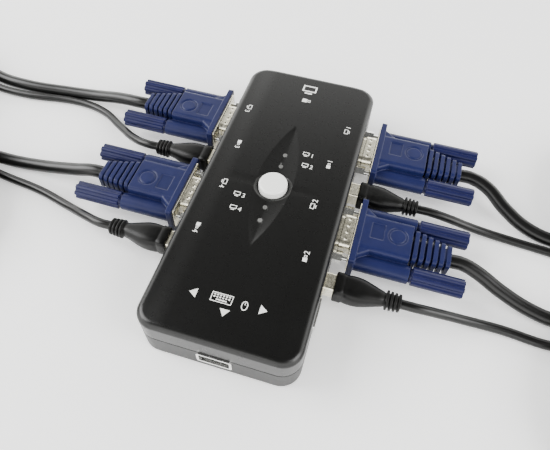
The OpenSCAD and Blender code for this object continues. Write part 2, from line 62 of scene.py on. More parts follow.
def make_camera():
    a, e, r = (math.radians(v) for v in (CAMERA_AZ, CAMERA_EL, CAMERA_ROLL))
    back = Vector((math.sin(a) * math.cos(e), -math.cos(a) * math.cos(e), math.sin(e)))
    level = Vector((math.cos(a), math.sin(a), 0))
    up = back.cross(level)
    right = math.cos(r) * level + math.sin(r) * up
    top = -math.sin(r) * level + math.cos(r) * up
    cam = bpy.data.objects.new("camera", bpy.data.cameras.new("camera"))
    SCENE.collection.objects.link(cam)
    turn = Matrix((right, top, back)).transposed().to_4x4()
    cam.matrix_world = Matrix.Translation(CAMERA_AT) @ turn
    cam.data.lens = CAMERA_LENS
    cam.data.sensor_width = 36
    cam.data.clip_start = 0.01
    cam.data.clip_end = 20
    SCENE.camera = cam


make_camera()

# ---- Materials ----


def new_material(name):
    material = bpy.data.materials.new(name)
    material.use_nodes = True
    tree = material.node_tree
    return material, tree, tree.nodes["Principled BSDF"]


def texture(tree, kind, scale, stretch=(1, 1, 1), **settings):
    """A procedural texture in the object's own coordinates; scale is in repeats per metre."""
    where = tree.nodes.new("ShaderNodeTexCoord")
    mapping = tree.nodes.new("ShaderNodeMapping")
    mapping.inputs["Scale"].default_value = stretch
    node = tree.nodes.new(kind)
    tree.links.new(where.outputs["Object"], mapping.inputs["Vector"])
    tree.links.new(mapping.outputs["Vector"], node.inputs["Vector"])
    node.inputs["Scale"].default_value = scale
    for key, value in settings.items():
        node.inputs[key].default_value = value
    return node


def ramp(tree, source, target, stops):
    """A colour ramp from source into the target socket; stops are (position, colour)."""
    node = tree.nodes.new("ShaderNodeValToRGB")
    tree.links.new(source, node.inputs["Fac"])
    elements = node.color_ramp.elements
    while len(elements) < len(stops):
        elements.new(0.5)
    for element, (position, colour) in zip(elements, stops):
        element.position = position
        element.color = (*colour, 1)
    tree.links.new(node.outputs["Color"], target)


def spread(tree, source, target, low, high):
    """Sends a 0-1 texture value to the target socket, over the range low-high."""
    node = tree.nodes.new("ShaderNodeMapRange")
    tree.links.new(source, node.inputs["Value"])
    node.inputs["From Min"].default_value = 0.3
    node.inputs["From Max"].default_value = 0.7
    node.inputs["To Min"].default_value = low
    node.inputs["To Max"].default_value = high
    tree.links.new(node.outputs["Result"], target)


def bump(tree, shader, sources):
    """Chains bump nodes; sources are (height output, strength, depth in metres)."""
    previous = None
    for height, strength, depth in sources:
        node = tree.nodes.new("ShaderNodeBump")
        node.inputs["Strength"].default_value = strength
        node.inputs["Distance"].default_value = depth
        tree.links.new(height, node.inputs["Height"])
        if previous is not None:
            tree.links.new(previous, node.inputs["Normal"])
        previous = node.outputs["Normal"]
    tree.links.new(previous, shader.inputs["Normal"])


def plastic(name, dark, light, rough, grain=2600, depth=0.00002, coat=0.0, patch=60, shine=0.5,
            wavy=0.25, uneven=0.05):
    """Moulded plastic: cloudy colour, uneven gloss and a fine moulded grain."""
    material, tree, shader = new_material(name)
    clouds = texture(tree, "ShaderNodeTexNoise", patch, Detail=4.0, Roughness=0.6)
    ramp(tree, clouds.outputs["Fac"], shader.inputs["Base Color"], [(0.3, dark), (0.7, light)])
    gloss = texture(tree, "ShaderNodeTexNoise", patch * 7, Detail=3.0)
    spread(tree, gloss.outputs["Fac"], shader.inputs["Roughness"], rough - uneven, rough + uneven)
    fine = texture(tree, "ShaderNodeTexNoise", grain, Detail=2.0)
    waves = texture(tree, "ShaderNodeTexNoise", 120, Detail=1.0)
    bump(tree, shader, [(waves.outputs["Fac"], wavy, 0.00006), (fine.outputs["Fac"], 0.5, depth)])
    shader.inputs["Coat Weight"].default_value = coat
    shader.inputs["Coat Roughness"].default_value = 0.12
    shader.inputs["Specular IOR Level"].default_value = shine
    return material


def metal(name, dark, light, rough, stretch=(1, 1, 1), scratch=900):
    """Plated sheet metal: uneven plating with fine drawing lines."""
    material, tree, shader = new_material(name)
    shader.inputs["Metallic"].default_value = 1.0
    clouds = texture(tree, "ShaderNodeTexNoise", 180, Detail=4.0)
    ramp(tree, clouds.outputs["Fac"], shader.inputs["Base Color"], [(0.3, dark), (0.7, light)])
    lines = texture(tree, "ShaderNodeTexNoise", scratch, stretch, Detail=3.0)
    spread(tree, lines.outputs["Fac"], shader.inputs["Roughness"], rough - 0.07, rough + 0.1)
    bump(tree, shader, [(clouds.outputs["Fac"], 0.2, 0.00004), (lines.outputs["Fac"], 0.3, 0.00001)])
    return material


def grey(level):
    return (level, level, level * 0.97)


# Each plastic: its darker and lighter colour, roughness, grain and its depth, coat, patches, shine
CASE_BLACK = plastic("case_black", grey(0.0032), grey(0.0040), 0.28, 3600, 0.000008, shine=0.36,
                     wavy=0.03, uneven=0.01)
BOTTOM_BLACK = plastic("bottom_black", grey(0.0060), grey(0.0080), 0.42, 2800, shine=0.42, wavy=0.06,
                       uneven=0.02)
BUTTON_WHITE = plastic("button_white", grey(0.90), grey(0.96), 0.25, 2500, 0.000006, 0.4)
PRINT_WHITE = plastic("print_white", grey(0.72), grey(0.86), 0.6, 6000, 0.00001, 0.0, 900)
HOOD_LOW, HOOD_HIGH = (0.0065, 0.0092, 0.0470), (0.0088, 0.0122, 0.0590)
KNOB_LOW, KNOB_HIGH = (0.0060, 0.0074, 0.0430), (0.0082, 0.0098, 0.0550)
PLUG_BLUE = plastic("plug_blue", HOOD_LOW, HOOD_HIGH, 0.40, 3000, 0.00002, 0.0, 90, 0.22)
KNOB_BLUE = plastic("knob_blue", KNOB_LOW, KNOB_HIGH, 0.33, 2600, 0.000015, 0.0, 110, 0.28)
PLUG_BLACK = plastic("plug_black", grey(0.0022), grey(0.0036), 0.36, 3000, 0.00002, 0.0, 90, 0.2)
CORD_BLACK = plastic("cord_black", grey(0.0026), grey(0.0036), 0.30, 1800, 0.00001, 0.0, 40, 0.36,
                     wavy=0.1, uneven=0.02)
RUBBER = plastic("foot_rubber", grey(0.012), grey(0.020), 0.8, 2400, 0.00004)
BOARD_LOW, BOARD_HIGH = (0.010, 0.075, 0.035), (0.016, 0.105, 0.050)
BOARD_GREEN = plastic("board_green", BOARD_LOW, BOARD_HIGH, 0.3, 1500, 0.00003, 0.3, 200)
CHIP_BLACK = plastic("chip_black", grey(0.010), grey(0.018), 0.55, 3500)
CAN_SLEEVE = plastic("can_sleeve", (0.02, 0.022, 0.06), (0.03, 0.032, 0.085), 0.3, 2500, 0.00001)
NYLON = plastic("nylon_peg", (0.62, 0.57, 0.46), (0.70, 0.65, 0.54), 0.45, 2500, 0.00001)
LED_LENS = plastic("led_lens", grey(0.10), grey(0.17), 0.12, 2500, 0.000004, 0.6)
INSULATOR_BLUE = plastic("insulator_blue", (0.02, 0.04, 0.20), (0.03, 0.055, 0.26), 0.45)
INSULATOR_BLACK = plastic("insulator_black", grey(0.012), grey(0.020), 0.45)
INSULATOR_WHITE = plastic("insulator_white", grey(0.70), grey(0.78), 0.45)
NICKEL = metal("nickel_plate", (0.93, 0.88, 0.70), (0.98, 0.94, 0.79), 0.26)
BRIGHT_NICKEL = metal("bright_nickel", (0.90, 0.90, 0.88), (0.96, 0.96, 0.94), 0.2)
SCREW_STEEL = metal("screw_steel", (0.50, 0.50, 0.51), (0.62, 0.62, 0.63), 0.32)
GOLD = metal("contact_gold", (0.85, 0.60, 0.25), (0.95, 0.70, 0.33), 0.25)

# ---- Mesh helpers ----


def new_object(name, mesh, material):
    piece = bpy.data.objects.new(name, mesh)
    SCENE.collection.objects.link(piece)
    mesh.materials.clear()
    mesh.materials.append(material)
    return piece


def shade_smooth(mesh):
    mesh.polygons.foreach_set("use_smooth", [True] * len(mesh.polygons))
    mesh.update()


def applied(piece):
    """The piece's mesh with its modifiers applied, in place."""
    graph = bpy.context.evaluated_depsgraph_get()
    mesh = bpy.data.meshes.new_from_object(piece.evaluated_get(graph))
    piece.modifiers.clear()
    old = piece.data
    piece.data = mesh
    bpy.data.meshes.remove(old)
    return piece


def node_mesh(node, shift=None):
    """A clean copy of a CAD node's mesh, with its flat faces joined, moved by shift."""
    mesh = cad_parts[node].data.copy()
    mesh.materials.clear()
    tidy = bmesh.new()
    tidy.from_mesh(mesh)
    bmesh.ops.remove_doubles(tidy, verts=tidy.verts, dist=2e-6)
    bmesh.ops.dissolve_limit(tidy, angle_limit=math.radians(0.4), verts=tidy.verts, edges=tidy.edges)
    bmesh.ops.recalc_face_normals(tidy, faces=tidy.faces)
    if shift is not None:
        bmesh.ops.translate(tidy, verts=tidy.verts, vec=shift)
    tidy.to_mesh(mesh)
    tidy.free()
    return mesh


def bevelled(piece, width, segments=2, angle=38):
    """Rounds the sharp edges of a mesh and keeps its faces smooth."""
    shade_smooth(piece.data)
    edge = piece.modifiers.new("edges", "BEVEL")
    edge.limit_method = "ANGLE"
    edge.angle_limit = math.radians(angle)
    edge.width = width
    edge.segments = segments
    edge.use_clamp_overlap = True
    edge.harden_normals = False
    normals = piece.modifiers.new("normals", "WEIGHTED_NORMAL")
    normals.keep_sharp = True
    return piece


def softened(name, node, shift, voxel, passes, keep=1.0):
    """A moulded version of a CAD node: remeshed evenly, then relaxed, so every edge is rounded."""
    piece = new_object(name, node_mesh(node, shift), PLUG_BLUE)
    remesh = piece.modifiers.new("remesh", "REMESH")
    remesh.mode = "VOXEL"
    remesh.voxel_size = voxel
    relax = piece.modifiers.new("relax", "SMOOTH")
    relax.factor = 0.5
    relax.iterations = passes
    if keep < 1:
        lighter = piece.modifiers.new("lighter", "DECIMATE")
        lighter.ratio = keep
    applied(piece)
    shade_smooth(piece.data)
    mesh = piece.data
    bpy.data.objects.remove(piece)
    return mesh


def placed(name, mesh, material, place, body, slot, *nodes):
    """A piece from a shared mesh, put at place, riding on body and standing for nodes."""
    piece = bpy.data.objects.new(name, mesh)
    SCENE.collection.objects.link(piece)
    if not mesh.materials:
        mesh.materials.append(material)
    piece.matrix_world = place
    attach(piece, body)
    if nodes:
        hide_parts(*nodes)
    return piece


# ---- Cords ----

VGA_D, USB_D = 0.0064, 0.0042
FAR_VGA_Z, FAR_USB_Z = 0.0286, 0.0044

# Each cable set: side of the box, way the coil turns, its centre, then the points where the
# cords go into the plugs at the computers' end and the way those plugs point, in degrees.
SETS = [
    (1, 1, (0.174, 0.051), (0.2075, 0.043), 90, (0.197, 0.0131), 0),
    (1, -1, (0.174, -0.052), (0.2075, -0.044), -90, (0.197, -0.0141), 0),
    (-1, 1, (-0.228, 0.014), (-0.2615, 0.022), -90, (-0.264, -0.028), -90),
    (-1, 1, (-0.169, -0.053), (-0.2025, -0.045), -90, (-0.222, -0.04), -110),
]
VGA_LEADS = [
    [(0.096, 0.0394, 0.0097), (0.106, 0.0316, 0.0064), (0.117, 0.0254, 0.0039), (0.13, 0.0222, 0.0033),
     (0.145, 0.02, 0.0076), (0.16, 0.0132, 0.0115), (0.174, 0.01, 0.0116)],
    [(0.094, -0.0098, 0.0096), (0.106, -0.014, 0.006), (0.119, -0.0178, 0.0035), (0.13, -0.0196, 0.0033),
     (0.144, -0.0188, 0.0058), (0.159, -0.0136, 0.0102), (0.174, -0.011, 0.0116)],
    [(-0.1, 0.0438, 0.0088), (-0.116, 0.0454, 0.005), (-0.134, 0.045, 0.0033), (-0.16, 0.043, 0.0032),
     (-0.18, 0.045, 0.0036), (-0.204, 0.0518, 0.009), (-0.228, 0.055, 0.0116)],
    [(-0.098, -0.0088, 0.0084), (-0.118, -0.0086, 0.0038), (-0.137, -0.0098, 0.0034),
     (-0.152, -0.0114, 0.0074), (-0.169, -0.012, 0.0116)],
]
USB_LEADS = [
    [(0.079, 0.0158, 0.009), (0.093, 0.0172, 0.0044), (0.108, 0.0174, 0.0022), (0.13, 0.0158, 0.0021),
     (0.15, 0.0136, 0.0021), (0.174, 0.0131, 0.0021)],
    [(0.079, -0.034, 0.0088), (0.093, -0.0312, 0.0042), (0.108, -0.03, 0.0022), (0.13, -0.031, 0.0021),
     (0.141, -0.0283, 0.0021), (0.152, -0.0225, 0.0021), (0.163, -0.0167, 0.0021), (0.174, -0.0141, 0.0021)],
    [(-0.079, 0.018, 0.0092), (-0.093, 0.027, 0.0056), (-0.108, 0.0366, 0.0031), (-0.124, 0.0402, 0.0022),
     (-0.16, 0.0366, 0.0021), (-0.18, 0.0384, 0.0021), (-0.204, 0.0476, 0.0021), (-0.228, 0.0519, 0.0021)],
    [(-0.079, -0.033, 0.009), (-0.094, -0.0274, 0.0044), (-0.112, -0.022, 0.0022),
     (-0.133, -0.0192, 0.0021), (-0.15, -0.0166, 0.0021), (-0.169, -0.0151, 0.0021)],
]
VGA_TAILS = [
    [(0.1846, 0.0114, 0.019), (0.1945, 0.0155, 0.0214), (0.2014, 0.0213, 0.024), (0.2059, 0.0291, 0.0266),
     (0.2073, 0.036, 0.0283)],
    [(0.1846, -0.0124, 0.019), (0.1945, -0.0165, 0.0214), (0.2014, -0.0223, 0.024),
     (0.2059, -0.0301, 0.0266), (0.2073, -0.037, 0.0283)],
    [(-0.2386, 0.0536, 0.019), (-0.2485, 0.0495, 0.0214), (-0.2554, 0.0437, 0.024),
     (-0.2599, 0.0359, 0.0266), (-0.2613, 0.029, 0.0283)],
    [(-0.1796, -0.0134, 0.019), (-0.1895, -0.0175, 0.0214), (-0.1964, -0.0233, 0.024),
     (-0.2009, -0.0311, 0.0266), (-0.2023, -0.038, 0.0283)],
]
USB_TAILS = [
    [(0.184, 0.0131, 0.0058), (0.19, 0.0131, 0.005)],
    [(0.184, -0.0141, 0.0058), (0.19, -0.0141, 0.005)],
    [(-0.2659, 0.002, 0.0058), (-0.2652, -0.012, 0.005)],
    [(-0.197, -0.0242, 0.0058), (-0.208, -0.0283, 0.0048), (-0.216, -0.0326, 0.0044)],
]
# Radius and height of each turn of a coil, from the first to the last
VGA_TURNS = [(0.041, 0.0116), (0.0346, 0.0116), (0.0282, 0.0116),
             (0.0282, 0.018), (0.0346, 0.018), (0.041, 0.018)]
USB_TURNS = [(0.0379, 0.0023), (0.0337, 0.0022), (0.0295, 0.0022),
             (0.0295, 0.0063), (0.0337, 0.0063), (0.0379, 0.0063)]
# Points to a turn, and the part of a turn after which a cord moves over to the next turn
PER_TURN = 24
STEP_START = 0.78
# Straight stretches of a cord where it leaves the plug at the box and enters the other plug
START_STRAIGHT, END_STRAIGHT = 0.006, 0.004
CORD_SIDES, CORD_STEPS = 5, 6


def smooth_step(t):
    t = min(max(t, 0.0), 1.0)
    return t * t * (3 - 2 * t)


def coil_points(centre, spin, turns, first, last):
    """Points of the turns between first and last; each turn moves over to the next one at its end."""
    start = math.atan2(first[1] - centre[1], first[0] - centre[0])
    end = math.atan2(last[1] - centre[1], last[0] - centre[0])
    whole = len(turns) - 1 + ((end - start) * spin / math.tau) % 1.0
    count = int(whole * PER_TURN)
    points = []
    for i in range(1, count):
        t = i / PER_TURN
        here, part = int(t), t - int(t)
        over = smooth_step((part - STEP_START) / (1 - STEP_START))
        after = min(here + 1, len(turns) - 1)
        radius = turns[here][0] + over * (turns[after][0] - turns[here][0])
        height = turns[here][1] + over * (turns[after][1] - turns[here][1])
        angle = start + spin * t * math.tau
        points.append((centre[0] + radius * math.cos(angle), centre[1] + radius * math.sin(angle), height))
    return points


def curve_piece(name, points, diameter):
    """A round cord along the points."""
    data = bpy.data.curves.new(name, "CURVE")
    data.dimensions = "3D"
    data.bevel_depth = diameter / 2
    data.bevel_resolution = CORD_SIDES
    data.resolution_u = CORD_STEPS
    data.use_fill_caps = True
    spline = data.splines.new("BEZIER")
    spline.bezier_points.add(len(points) - 1)
    for knot, point in zip(spline.bezier_points, points):
        knot.co = point
        knot.handle_left_type = "AUTO"
        knot.handle_right_type = "AUTO"
    data.materials.append(CORD_BLACK)
    piece = bpy.data.objects.new(name, data)
    SCENE.collection.objects.link(piece)
    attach(piece, "root")
    return piece


def far_place(at, angle, height, reach):
    """Where a plug at the computers' end lies, with local +X pointing back along its cord."""
    a = math.radians(angle + 180)
    return (Matrix.Translation((at[0], at[1], height)) @ Matrix.Rotation(a, 4, "Z")
            @ Matrix.Translation((-reach, 0, 0)))


def cord_between(name, start, lead, turns, tail, centre, spin, end, diameter):
    """A whole cord: straight out of its plug, to the coil, round it, and into the plug at its end."""
    points = [start, (start[0] + math.copysign(START_STRAIGHT, start[0]), start[1], start[2])]
    points += lead + coil_points(centre, spin, turns, lead[-1], tail[0]) + tail
    (x, y), angle, height = end
    a = math.radians(angle)
    points.append((x - END_STRAIGHT * math.cos(a), y - END_STRAIGHT * math.sin(a), height))
    points.append((x, y, height))
    return curve_piece(name, points, diameter)


def plug_end(node, side):
    """The middle of the outer end of a plug on the given side of the box."""
    lo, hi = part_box(node)
    return (hi.x if side > 0 else lo.x, (lo.y + hi.y) / 2, (lo.z + hi.z) / 2)


CORDS = []
for k, (side, spin, centre, vga_at, vga_way, usb_at, usb_way) in enumerate(SETS):
    vga_start = plug_end(f"vga_plug_{k + 1}", side)
    usb_start = plug_end(f"usb_plug_{k + 1}", side)
    vga = cord_between(f"vga_cord_line_{k + 1}", vga_start, VGA_LEADS[k], VGA_TURNS, VGA_TAILS[k], centre,
                       spin, (vga_at, vga_way, FAR_VGA_Z), VGA_D)
    usb = cord_between(f"usb_cord_line_{k + 1}", usb_start, USB_LEADS[k], USB_TURNS, USB_TAILS[k], centre,
                       spin, (usb_at, usb_way, FAR_USB_Z), USB_D)
    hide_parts(f"vga_cord_{k + 1}", f"cable_coil_{k + 1}")
    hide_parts(f"usb_cord_{k + 1}")
    CORDS.append((vga, vga_start, usb, usb_start))

# ---- Covers ----

CROWN_FROM, CROWN_DROP = 0.019, 0.0006
# The pointed valley along the middle of the top face: half length, half width, middle and depth
LEAF_HALF, LEAF_W, LEAF_Y, LEAF_DEPTH = 0.036, 0.0084, 0.0012, 0.0010
LEAF_R = (LEAF_HALF ** 2 + LEAF_W ** 2) / (2 * LEAF_W)
# The dished ring round the button: where the button is, the ring's two radii and its depth
BUTTON_AT = sum(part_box("push_button"), Vector()) / 2
DISH_IN, DISH_OUT, DISH_DEPTH = 0.0072, 0.0088, 0.0010
SEAM_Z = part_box("top_cover")[0].z
SEAM_HIGH, SEAM_DEEP = 0.0005, 0.0004
# Number or spacing of the cuts across the valley, along it, in the side margins and at the dish
VALLEY_CUTS, LENGTH_CUTS, MARGIN_CUTS = 11, 24, 7
MARGIN_STEP, DISH_STEP, DISH_CUTS, DISH_REACH = 0.0018, 0.0004, 22, 0.011
# How far below the top a face or a point may lie and still belong to the top face
TOP_BAND, HOLLOW_BAND = 0.0011, 0.0007


def crown(x):
    """How far the top face falls away towards a long side."""
    return CROWN_DROP * smooth_step((abs(x) - CROWN_FROM) / (HALF_W - CROWN_FROM - 0.002))


def valley(x, y):
    """Depth of the valley at a point of the top face."""
    along = abs(y - LEAF_Y)
    if along >= LEAF_HALF:
        return 0.0
    half = math.sqrt(LEAF_R ** 2 - along ** 2) - (LEAF_R - LEAF_W)
    if abs(x) >= half:
        return 0.0
    return LEAF_DEPTH * (half / LEAF_W) ** 0.6 * (1 - (abs(x) / half) ** 1.25)


def dish(x, y):
    """Depth of the dished ring at a point of the top face."""
    reach = math.hypot(x - BUTTON_AT.x, y - BUTTON_AT.y)
    return DISH_DEPTH * (1 - smooth_step((reach - DISH_IN) / (DISH_OUT - DISH_IN)))


def top_height(x, y):
    """Height of the finished top face."""
    return TOP_Z - crown(x) - max(valley(x, y), dish(x, y))


def in_hollow(x, y):
    """Whether a point of the top face lies in the valley or in the dish."""
    leaf = abs(x) < LEAF_W and abs(y - LEAF_Y) < LEAF_HALF + 0.0001
    return leaf or dish(x, y) > 0


def cut_planes():
    """Where the top face is cut finely, and how far from the button: valley, margins and dish."""
    across = [i * LEAF_W / VALLEY_CUTS for i in range(-VALLEY_CUTS, VALLEY_CUTS + 1)]
    margin = [side * (CROWN_FROM + i * MARGIN_STEP) for side in (-1, 1) for i in range(MARGIN_CUTS)]
    along = [LEAF_Y + i * LEAF_HALF / LENGTH_CUTS for i in range(-LENGTH_CUTS, LENGTH_CUTS + 1)]
    fine = [i * DISH_STEP for i in range(-DISH_CUTS, DISH_CUTS + 1)]
    planes = [((x, 0, 0), (1, 0, 0), 1) for x in across + margin]
    planes += [((0, y, 0), (0, 1, 0), 1) for y in along]
    planes += [((BUTTON_AT.x + d, 0, 0), (1, 0, 0), DISH_REACH) for d in fine]
    planes += [((0, BUTTON_AT.y + d, 0), (0, 1, 0), DISH_REACH) for d in fine]
    return planes


def is_top(face, reach):
    """Whether a face belongs to the top face and lies within reach of the button."""
    middle = face.calc_center_median()
    near = math.hypot(middle.x - BUTTON_AT.x, middle.y - BUTTON_AT.y) < reach
    return near and middle.z > TOP_Z - TOP_BAND and face.normal.z > 0.6


def cut(work, faces, place, normal):
    """Cuts the faces along a plane."""
    edges = {edge for face in faces for edge in face.edges}
    verts = {vert for face in faces for vert in face.verts}
    geometry = faces + list(edges) + list(verts)
    bmesh.ops.bisect_plane(work, geom=geometry, plane_co=place, plane_no=normal, dist=1e-6)


def shape_top(vert):
    """Sinks the valley and the dish into the top face and lets its long sides fall away."""
    x, y, z = vert.co
    if z > TOP_Z - HOLLOW_BAND and in_hollow(x, y):
        vert.co.z = top_height(x, y)
    else:
        share = min(max((z - (TOP_Z - 0.004)) / 0.003, 0), 1)
        vert.co.z -= share * crown(x)


def draw_in(vert):
    """Draws the cover's lower edge in, so that a dark line shows where the covers meet."""
    vert.co.x *= 1 - SEAM_DEEP / HALF_W
    vert.co.y = CASE_MID.y + (vert.co.y - CASE_MID.y) * (1 - SEAM_DEEP / HALF_L)


def make_top_cover():
    work = bmesh.new()
    work.from_mesh(node_mesh("top_cover"))
    for place, normal, reach in cut_planes():
        cut(work, [face for face in work.faces if is_top(face, reach)], place, normal)
    cut(work, list(work.faces), (0, 0, SEAM_Z + SEAM_HIGH), (0, 0, 1))
    for vert in work.verts:
        if vert.co.z < SEAM_Z + SEAM_HIGH / 2:
            draw_in(vert)
        else:
            shape_top(vert)
    bmesh.ops.remove_doubles(work, verts=work.verts, dist=4e-6)
    bmesh.ops.dissolve_degenerate(work, edges=work.edges, dist=2e-6)
    mesh = bpy.data.meshes.new("top_shell")
    work.to_mesh(mesh)
    work.free()
    piece = new_object("top_shell", mesh, CASE_BLACK)
    bevelled(piece, 0.00016, 2)
    piece.modifiers["edges"].use_clamp_overlap = False
    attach(piece, "root")
    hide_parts("top_cover")


def carried(name, node, material, width, segments=2, body="root"):
    """A CAD node's own shape with rounded edges and a finished material."""
    piece = new_object(name, node_mesh(node), material)
    bevelled(piece, width, segments)
    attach(piece, body)
    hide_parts(node)
    return piece


make_top_cover()
carried("bottom_shell", "bottom_cover", BOTTOM_BLACK, 0.00022)
carried("button_cap", "push_button", BUTTON_WHITE, 0.0003, 3, "button")
carried("plunger_peg", "switch_plunger", NYLON, 0.0002, 2, "button")

FINISHES = {
    "case_screws": SCREW_STEEL, "rubber_feet": RUBBER, "circuit_board": BOARD_GREEN,
    "logic_chips": CHIP_BLACK, "board_capacitors": CAN_SLEEVE, "tact_switch": INSULATOR_BLACK,
    "indicator_leds": LED_LENS, "pc_vga_shells": NICKEL, "pc_vga_inserts": INSULATOR_BLUE,
    "pc_usb_shells": NICKEL, "pc_usb_inserts": INSULATOR_BLACK, "monitor_socket_shell": NICKEL,
    "monitor_socket_insert": INSULATOR_BLUE, "jack_nuts": BRIGHT_NICKEL,
    "console_usb_front": BRIGHT_NICKEL, "console_usb_left": BRIGHT_NICKEL,
    "console_usb_right": BRIGHT_NICKEL, "console_usb_tongues": INSULATOR_BLACK,
    "usb_plug_shells": NICKEL,
}
for node, material in FINISHES.items():
    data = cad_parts[node].data
    data.materials.clear()
    data.materials.append(material)

# ---- Prints on the top face: plain signs and numerals ----

PRINT_THICK = 0.00006
PRINT_LINE, FINE_LINE = 0.32, 0.26


def rectangle(x0, y0, x1, y1):
    return [(x0, y0), (x1, y0), (x1, y1), (x0, y1)]


def oval(x, y, rx, ry, count=20):
    turns = [math.tau * i / count for i in range(count)]
    return [(x + rx * math.cos(a), y + ry * math.sin(a)) for a in turns]


def outline(outer, inner):
    """The faces between two loops with as many points each."""
    pairs = range(len(outer))
    return [[outer[i - 1], outer[i], inner[i], inner[i - 1]] for i in pairs]


def box_outline(x0, y0, x1, y1, line=PRINT_LINE):
    inner = rectangle(x0 + line, y0 + line, x1 - line, y1 - line)
    return outline(rectangle(x0, y0, x1, y1), inner)


def monitor_sign():
    return box_outline(-1.5, -0.5, 1.5, 1.4) + [rectangle(-0.8, -1.2, 0.8, -0.8)]


def plug_sign():
    return [rectangle(-1.4, -0.9, 0.4, 0.9)] + box_outline(0.6, -0.6, 1.7, 0.6, FINE_LINE)


def keyboard_sign():
    columns, rows = (-3.7, -2.5, -1.3, -0.1, 1.1, 2.3), (-0.1, 0.9)
    keys = [rectangle(x, y, x + 0.7, y + 0.6) for x in columns for y in rows]
    return box_outline(-4.6, -1.9, 4.0, 2.1) + keys + [rectangle(-2.4, -1.1, 2.0, -0.6)]


def mouse_sign():
    ring = outline(oval(0, 0, 1.3, 2.0), oval(0, 0, 0.95, 1.65))
    return ring + [rectangle(-0.16, 0.3, 0.16, 1.3)]


def numeral(digit, height=2.4):
    """The flat faces of one numeral, centred on its place."""
    curve = bpy.data.curves.new("numeral", "FONT")
    curve.body = digit
    curve.size = height / 0.72
    curve.align_x = "CENTER"
    piece = bpy.data.objects.new("numeral", curve)
    SCENE.collection.objects.link(piece)
    mesh = bpy.data.meshes.new_from_object(piece.evaluated_get(bpy.context.evaluated_depsgraph_get()))
    corners = [[mesh.vertices[v].co for v in face.vertices] for face in mesh.polygons]
    faces = [[(p.x, p.y - height / 2) for p in corner] for corner in corners]
    bpy.data.objects.remove(piece)
    bpy.data.curves.remove(curve)
    return faces


def moved(faces, x, y, turn=0, scale=1.0):
    """Flat faces scaled, turned by an angle in degrees and moved."""
    c, s = scale * math.cos(math.radians(turn)), scale * math.sin(math.radians(turn))
    return [[(x + c * u - s * v, y + s * u + c * v) for u, v in face] for face in faces]


def label(sign, digit):
    """A sign with its numeral to the right of it."""
    return moved(sign, -1.1, 0) + moved(numeral(digit), 1.9, 0)


def all_prints():
    """Every print in millimetres from the middle of the box, as seen from above."""
    monitor, plug = monitor_sign(), plug_sign()
    faces = moved(monitor, -0.2, 66, 0, 2.4) + moved(plug, 0, 58, 0, 1.35)
    lamps = [("1", 10.4, 22.4), ("2", 11.6, 15.6), ("3", -12.6, -9.2), ("4", -11.8, -16.7)]
    for digit, x, y in lamps:
        faces += moved(label(monitor, digit), x, y)
    sides = [(monitor, "1", 24.5, 44, 90), (plug, "1", 20.9, 19.8, 90), (monitor, "2", 19.9, -4.6, 90),
             (plug, "2", 23.1, -31.1, 90), (monitor, "3", -26, 44.1, -90), (plug, "3", -22.8, 19.4, -90),
             (monitor, "4", -21.5, -5.1, -90), (plug, "4", -23.9, -30.7, -90)]
    for sign, digit, x, y, turn in sides:
        faces += moved(label(sign, digit), x, y, turn)
    arrow = [[(-1.5, -2), (1.5, 0), (-1.5, 2)]]
    for x, y, turn in ((-14.2, -59.4, 180), (14.0, -58.9, 0), (0, -64.2, -90)):
        faces += moved(arrow, x, y, turn)
    return faces + moved(keyboard_sign(), -2.4, -58.8) + moved(mouse_sign(), 6.6, -59.2)


def make_prints():
    """One thin closed skin of ink on the top face, which it follows."""
    work = bmesh.new()
    for face in all_prints():
        corners = [(x * MM, CASE_MID.y + y * MM, 0) for x, y in face]
        work.faces.new([work.verts.new(corner) for corner in corners])
    bmesh.ops.remove_doubles(work, verts=work.verts, dist=2e-6)
    lower = list(work.verts)
    upper = bmesh.ops.extrude_face_region(work, geom=list(work.faces), use_keep_orig=True)["geom"]
    raised = {item for item in upper if isinstance(item, bmesh.types.BMVert)}
    for vert in lower:
        vert.co.z = top_height(vert.co.x, vert.co.y) - PRINT_THICK / 2
    for vert in raised:
        vert.co.z = top_height(vert.co.x, vert.co.y) + PRINT_THICK
    bmesh.ops.recalc_face_normals(work, faces=work.faces)
    mesh = bpy.data.meshes.new("top_print")
    work.to_mesh(mesh)
    work.free()
    piece = new_object("top_print", mesh, PRINT_WHITE)
    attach(piece, "root")


make_prints()

# ---- Monitor plugs ----


def d_outline(width, height, radius, lean, count):
    """A D-shaped outline with round corners, wide side up, as (y, z) points."""
    corners = [(-1, 1), (1, 1), (1, -1), (-1, -1)]
    points = []
    for n, (sy, sz) in enumerate(corners):
        half = width / 2 - (lean if sz < 0 else 0)
        cy, cz = sy * (half - radius), sz * (height / 2 - radius)
        for i in range(count):
            a = math.radians(180 - 90 * n - 90 * i / (count - 1))
            points.append((cy + radius * math.cos(a), cz + radius * math.sin(a)))
    return points


def resampled(points, count):
    """count points spread evenly along a closed outline."""
    closed = points + [points[0]]
    steps = [math.dist(a, b) for a, b in zip(closed, closed[1:])]
    total = sum(steps)
    result, walked, i = [], 0.0, 0
    for n in range(count):
        goal = total * n / count
        while walked + steps[i] < goal:
            walked += steps[i]
            i += 1
        t = (goal - walked) / steps[i]
        result.append(tuple(a + t * (b - a) for a, b in zip(closed[i], closed[i + 1])))
    return result


